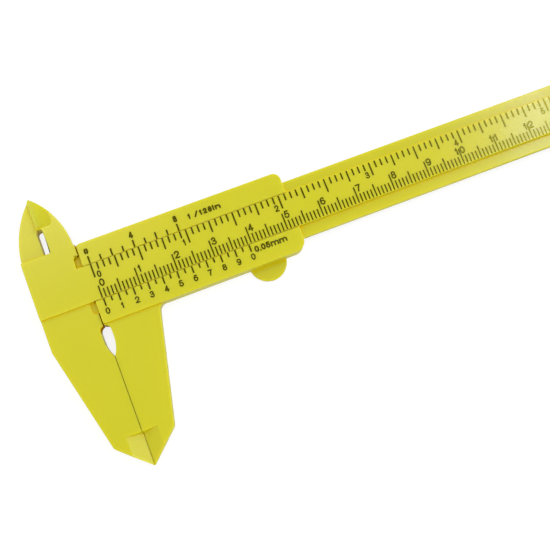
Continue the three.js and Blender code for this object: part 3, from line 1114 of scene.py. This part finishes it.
@dataclass
class MainScale(Print):
    """The millimetre and inch scales on the raised strip of the beam."""

    name: str = "main_scale_print"
    body: Body = Body.FRAME
    length: int = 150
    metric_width: float = 0.37
    metric_foot: float = 0.1
    millimetre_top: float = 2.4
    five_top: float = 3.5
    ten_top: float = 4.45
    zero_top: float = 3.4
    metric_number_foot: float = 2.9
    metric_number_shift: float = 1.15
    straddle: float = 0.21
    metric_figures: Lettering = Lettering(2.0, 0.36, slimness=0.68)
    inches: int = 6
    inch_top: float = 9.25
    sixteenth_foot: float = 7.4
    quarter_foot: float = 6.2
    half_foot: float = 5.65
    inch_number_foot: float = 5.3
    inch_number_gap: float = 0.94
    inch_zero_gap: float = 0.68
    inch_figures: Lettering = Lettering(1.78, 0.34)

    def draw(self) -> None:
        """Draws both scales."""
        self._draw_metric()
        self._draw_inches()

    def _draw_metric(self) -> None:
        """Draws a mark for each millimetre and a number for each centimetre."""
        for place in range(self.length + 1):
            if place == 0:
                top = self.zero_top
            elif place % 10 == 0:
                top = self.ten_top
            else:
                top = self.five_top if place % 5 == 0 else self.millimetre_top
            self.ink.mark(place, self.metric_foot, top, self.metric_width)
        for number in range(self.length // 10 + 1):
            place = 10 * number
            if number < 10:
                self._write_metric(str(number), place + self.metric_number_shift)
            else:
                self._straddle(str(number), place)

    def _write_metric(self, number: str, middle: float) -> None:
        """Writes one figure of the centimetre numbers."""
        self.write(number, middle, self.metric_number_foot, self.metric_figures)

    def _straddle(self, number: str, place: float) -> None:
        """Writes a number of two figures with one close to each side of its mark.

        Args:
            number: The two figures.
            place: The place of the mark.
        """
        for figure, side in zip(number, (-1, 1)):
            half = self.metric_figures.width_of(figure, self.font) / 2
            self._write_metric(figure, place + side * (self.straddle + half))

    def _draw_inches(self) -> None:
        """Draws a mark for each sixteenth and a number for each inch."""
        for sixteenth in range(16 * self.inches + 1):
            if sixteenth % 8 == 0:
                foot = self.half_foot
            else:
                foot = self.quarter_foot if sixteenth % 4 == 0 else self.sixteenth_foot
            self.ink.mark(sixteenth * INCH / 16, foot, self.inch_top, self.mark_width)
        for number in range(self.inches + 1):
            half = self.inch_figures.width_of(str(number), self.font) / 2
            aside = self.inch_zero_gap + half if number == 0 else -self.inch_number_gap - half
            self.write(str(number), number * INCH + aside, self.inch_number_foot, self.inch_figures)


@dataclass
class VernierScale(Print):
    """The twentieth-millimetre and 1/128 inch verniers on the two strips of the slider."""

    name: str = "vernier_print"
    body: Body = Body.SLIDE
    metric_start: float = 0.185
    metric_step: float = 1.95
    metric_count: int = 21
    metric_top: float = -0.2
    long_foot: float = -2.1
    short_foot: float = -1.4
    metric_number_foot: float = -4.3
    metric_figures: Lettering = Lettering(1.7, 0.33, slimness=0.68)
    inch_start: float = 0.03
    inch_step: float = 2.9766
    inch_count: int = 9
    inch_foot: float = 9.5
    inch_tops: tuple[float, ...] = (11.45, 10.9, 11.35, 10.9)
    inch_number_foot: float = 11.9
    inch_figures: Lettering = Lettering(1.75, 0.46)
    inch_legend: Words = (("1", 27.5), ("/", 29.4), ("128", 31.95), ("in", 34.95))
    inch_legend_foot: float = 11.4
    inch_legend_figures: Lettering = Lettering(1.5, 0.42, slimness=0.7, gap=0.17)
    metric_legend: Words = (("0.05mm", 44.55),)
    metric_legend_foot: float = -2.7
    metric_legend_figures: Lettering = Lettering(1.65, 0.38, slimness=0.7, gap=0.08)

    def draw(self) -> None:
        """Draws both verniers and what each of them reads."""
        for index in range(self.metric_count):
            place = self.metric_start + index * self.metric_step
            foot = self.short_foot if index % 2 else self.long_foot
            self.ink.mark(place, self.metric_top, foot, self.mark_width)
            if index % 2 == 0:
                number = str(index // 2 % 10)
                self.write(number, place, self.metric_number_foot, self.metric_figures)
        for index in range(self.inch_count):
            place = self.inch_start + index * self.inch_step
            self.ink.mark(place, self.inch_foot, self.inch_tops[index % 4], self.mark_width)
            if index % 4 == 0:
                self.write(str(index), place, self.inch_number_foot, self.inch_figures)
        for legend, foot, figures in (
            (self.inch_legend, self.inch_legend_foot, self.inch_legend_figures),
            (self.metric_legend, self.metric_legend_foot, self.metric_legend_figures),
        ):
            for part, middle in legend:
                self.write(part, middle, foot, figures)


@dataclass(frozen=True)
class SoftBox:
    """A flat lamp that shines at the caliper from one side.

    Tilt counts from straight above, and bearing from +X towards +Y, both in degrees. Sizes are metres.
    """

    name: str
    tilt: float
    bearing: float
    distance: float
    width: float
    height: float
    brightness: float
    colour: Colour = (255, 255, 255)

    def build(self) -> bpy.types.Object:
        """Builds the lamp.

        Returns:
            The lamp.
        """
        lamp = bpy.data.lights.new(self.name, "AREA")
        lamp.shape = "RECTANGLE"
        lamp.size, lamp.size_y = self.width, self.height
        lamp.energy = self.brightness * math.pi * self.width * self.height
        lamp.color = linear(self.colour)[:3]
        made = bpy.data.objects.new(self.name, lamp)
        bpy.context.scene.collection.objects.link(made)
        tilt, bearing = math.radians(self.tilt), math.radians(self.bearing)
        aside = math.sin(tilt)
        away = Vector((aside * math.cos(bearing), aside * math.sin(bearing), math.cos(tilt)))
        made.location = away * self.distance
        made.rotation_mode = "QUATERNION"
        made.rotation_quaternion = away.to_track_quat("Z", "Y")
        return made


@dataclass
class Studio:
    """The table, the surroundings, the lamps and the camera.

    The table's size, the lamps and the camera's clip distances are metres, all else millimetres.
    """

    table_size: float = 6.0
    table_cells: int = 24
    table_drop: float = 0.02
    table_colour: Colour = (180, 180, 178)
    seen_table_colour: Colour = (128, 128, 127)
    table_lift: float = 0.83
    sky_light: float = 0.81
    camera_place: tuple[float, float, float] = (19.6963, -40.4183, 224.3117)
    camera_aim: tuple[float, float, float] = (42.6202, -9.8527, 5.0)
    camera_roll: float = 21.3795
    focal_length: float = 57.273
    film_width: float = 36.0
    clip: Span = (0.01, 20.0)
    lamps: tuple[SoftBox, ...] = (
        SoftBox("right_lamp", 31.5, 20, 1.0, 0.14, 0.14, 20.0, colour=(208, 213, 255)),
        SoftBox("head_lamp", 26, 118, 1.0, 0.22, 0.22, 5.6),
        SoftBox("side_window", 49, 0, 1.0, 0.36, 0.36, 2.6),
        SoftBox("front_window", 60, -85, 1.2, 0.6, 0.4, 1.2),
        SoftBox("back_window", 50, 80, 1.2, 0.5, 0.4, 1.8),
    )

    def build(self) -> None:
        """Builds it all."""
        self._build_table()
        self._build_sky()
        for lamp in self.lamps:
            lamp.build()
        self._build_camera()
        bpy.context.scene.view_settings.view_transform = "Standard"

    def _build_table(self) -> None:
        """Builds the pale table top, just under the caliper."""
        work = bmesh.new()
        cells = self.table_cells
        bmesh.ops.create_grid(work, x_segments=cells, y_segments=cells, size=self.table_size / 2)
        bmesh.ops.translate(work, verts=work.verts, vec=(0, 0, -self.table_drop * MILLIMETRE))
        mesh = bpy.data.meshes.new("table_top")
        work.to_mesh(mesh)
        work.free()
        table = new_object("table_top", mesh)
        mesh.materials.append(self._table_material())

    def _table_material(self) -> bpy.types.Material:
        """White to the camera where the light is full, darker in shadow, and clear from below.

        Returns:
            The material.
        """
        made = bpy.data.materials.new("table_paint")
        made.use_nodes = True
        work = NodeWork(made.node_tree)
        paint = work.add("BsdfDiffuse", Color=linear(self.table_colour))
        seen_paint = work.add("BsdfDiffuse", Color=linear(self.seen_table_colour))
        glow = work.add("Emission", Strength=self.table_lift)
        bright = work.add("AddShader")
        work.join(seen_paint.outputs[0], bright.inputs[0])
        work.join(glow.outputs[0], bright.inputs[1])
        lit = work.add("MixShader")
        work.join(self._seen(work, work.add("LightPath")), lit.inputs[0])
        work.join(paint.outputs[0], lit.inputs[1])
        work.join(bright.outputs[0], lit.inputs[2])
        under = work.add("MixShader")
        work.join(work.add("NewGeometry").outputs["Backfacing"], under.inputs[0])
        work.join(lit.outputs[0], under.inputs[1])
        work.join(work.add("BsdfTransparent").outputs[0], under.inputs[2])
        output = work.add("OutputMaterial")
        work.join(under.outputs[0], output.inputs["Surface"])
        return made

    @staticmethod
    def _seen(work: NodeWork, rays: bpy.types.Node) -> Socket:
        """One for rays that show the background: from the camera, or by way of gloss or glass.

        Args:
            work: The nodes of the table's or the sky's material.
            rays: The node that tells rays apart.

        Returns:
            One or zero.
        """
        seen = rays.outputs["Is Camera Ray"]
        for kind in ("Is Glossy Ray", "Is Transmission Ray"):
            seen = work.reckon("MAXIMUM", seen, rays.outputs[kind])
        return seen

    def _build_sky(self) -> None:
        """Builds even white surroundings: full white to look at, and softer as a light."""
        world = bpy.data.worlds.new("studio_surroundings")
        bpy.context.scene.world = world
        world.use_nodes = True
        work = NodeWork(world.node_tree)
        light = work.add("Background", Strength=self.sky_light)
        white = work.add("Background", Strength=1.0)
        for node in (light, white):
            node.inputs["Color"].default_value = (1.0, 1.0, 1.0, 1.0)
        mix = work.add("MixShader")
        work.join(self._seen(work, work.add("LightPath")), mix.inputs[0])
        work.join(light.outputs[0], mix.inputs[1])
        work.join(white.outputs[0], mix.inputs[2])
        output = work.add("OutputWorld")
        work.join(mix.outputs[0], output.inputs["Surface"])

    def _build_camera(self) -> None:
        """Builds the camera at the photograph's place."""
        data = bpy.data.cameras.new("studio_camera")
        data.sensor_width = self.film_width
        data.lens = self.focal_length
        data.clip_start, data.clip_end = self.clip
        camera = bpy.data.objects.new("studio_camera", data)
        bpy.context.scene.collection.objects.link(camera)
        place = in_row(*self.camera_place)
        ahead = (in_row(*self.camera_aim) - place).normalized()
        level_up = (Vector((0, 1, 0)) - ahead * ahead.y).normalized()
        upright = Matrix((ahead.cross(level_up), level_up, -ahead)).transposed()
        rolled = upright @ Matrix.Rotation(math.radians(-self.camera_roll), 3, "Z")
        camera.matrix_world = Matrix.Translation(place) @ rolled.to_4x4()
        bpy.context.scene.camera = camera


def report(piece: bpy.types.Object, kind: str) -> None:
    """Reports one finished piece."""
    LOG.info("%s: %s, %d faces", piece.name, kind, len(piece.data.polygons))


def main() -> None:
    """Builds the mouldings, the prints and the studio, in that order."""
    logging.basicConfig(level=logging.INFO, format="%(name)s %(message)s")
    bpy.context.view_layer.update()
    plastic = MouldedPlastic().material()
    for moulding in (Beam(), Slider(), DepthRod()):
        report(moulding.build(), "moulding")
        moulding.dress(plastic)
    ink = PrintedInk().material()
    for scale in (MainScale(), VernierScale()):
        report(scale.build(), "print")
        scale.dress(ink)
    Studio().build()


if __name__ == "__main__":
    main()
